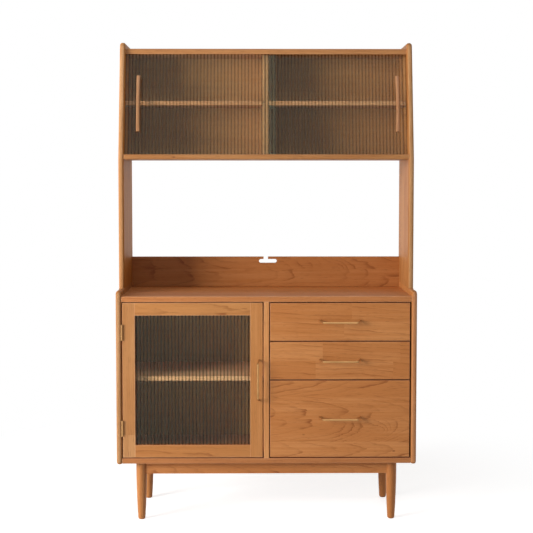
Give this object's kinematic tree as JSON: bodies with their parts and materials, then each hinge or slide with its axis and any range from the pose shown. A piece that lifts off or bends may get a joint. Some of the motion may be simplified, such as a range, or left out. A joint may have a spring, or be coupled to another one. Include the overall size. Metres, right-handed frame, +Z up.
{
  "type": "kitchen hutch cabinet",
  "caption": "Cherry sideboard on turned legs with a fluted glass door, drawers and brass bar pulls, and a leaning hutch with sliding fluted glass.",
  "frame": {"origin": "on the floor, in the middle of the width and of the overall depth, bar handles included", "axes": "+X to the right seen from the front, +Y to the back, +Z up"},
  "size_m": [1.2, 0.43, 1.94],
  "materials": {
    "cherry": "satin oiled cherry",
    "birch": "satin birch",
    "beech": "plain beech",
    "fluted_glass": "fluted on the back, smooth on the front",
    "brass": "polished",
    "steel": "zinc plated",
    "nickel": "nickel plated",
    "catch_body": "dark brown plastic"
  },
  "bodies": {
    "cabinet": {"left_side_panel": "cherry", "right_side_panel": "cherry", "worktop": "cherry", "bottom_board": "cherry", "centre_partition": "cherry", "lower_back_panel": "cherry", "door_bay_shelf": "cherry", "shelf_pins": "nickel", "long_aprons": "cherry", "side_aprons": "cherry", "tapered_legs": "cherry", "leg_bolts": "steel", "hutch_left_side": "cherry", "hutch_right_side": "cherry", "hutch_top_board": "cherry", "hutch_bottom_board": "cherry", "hutch_centre_divider": "cherry", "hutch_shelves": "cherry", "hutch_back_panel": "cherry", "cable_backboard": "cherry", "upper_glass_track": "cherry", "lower_glass_track": "cherry", "drawer_runners": "beech", "cabinet_screws": "steel", "hinge_cabinet_leaves": "brass", "hinge_pins": "brass", "magnetic_catch": "catch_body", "joint_dowels": "beech"},
    "glass_door": {"door_hinge_stile": "cherry", "door_handle_stile": "cherry", "door_top_rail": "cherry", "door_bottom_rail": "cherry", "door_glass": "fluted_glass", "door_glazing_beads": "cherry", "door_handle": "brass", "door_screws": "steel", "hinge_door_leaves": "brass", "catch_plate": "steel"},
    "drawer_1": {"drawer_1_front": "cherry", "drawer_1_sides": "birch", "drawer_1_back": "birch", "drawer_1_bottom": "birch", "drawer_1_handle": "brass", "drawer_1_screws": "steel"},
    "drawer_2": {"drawer_2_front": "cherry", "drawer_2_sides": "birch", "drawer_2_back": "birch", "drawer_2_bottom": "birch", "drawer_2_handle": "brass", "drawer_2_screws": "steel"},
    "drawer_3": {"drawer_3_front": "cherry", "drawer_3_sides": "birch", "drawer_3_back": "birch", "drawer_3_bottom": "birch", "drawer_3_handle": "brass", "drawer_3_screws": "steel"},
    "left_pane": {"left_glass_pane": "fluted_glass", "left_pane_handle": "cherry"},
    "right_pane": {"right_glass_pane": "fluted_glass", "right_pane_handle": "cherry"}
  },
  "joints": [
    {"name": "door_hinge", "type": "hinge", "parent": "cabinet", "child": "glass_door", "pos_m": [-0.5765, -0.1845, 0.578], "axis": [0, 0, -1], "range_deg": [0, 170]},
    {"name": "drawer_1_slide", "type": "slide", "parent": "cabinet", "child": "drawer_1", "axis": [0, -1, 0], "range_m": [0, 0.26]},
    {"name": "drawer_2_slide", "type": "slide", "parent": "cabinet", "child": "drawer_2", "axis": [0, -1, 0], "range_m": [0, 0.26]},
    {"name": "drawer_3_slide", "type": "slide", "parent": "cabinet", "child": "drawer_3", "axis": [0, -1, 0], "range_m": [0, 0.26]},
    {"name": "left_pane_slide", "type": "slide", "parent": "cabinet", "child": "left_pane", "axis": [1, 0, 0], "range_m": [0, 0.488]},
    {"name": "right_pane_slide", "type": "slide", "parent": "cabinet", "child": "right_pane", "axis": [1, 0, 0], "range_m": [-0.488, 0]}
  ]
}
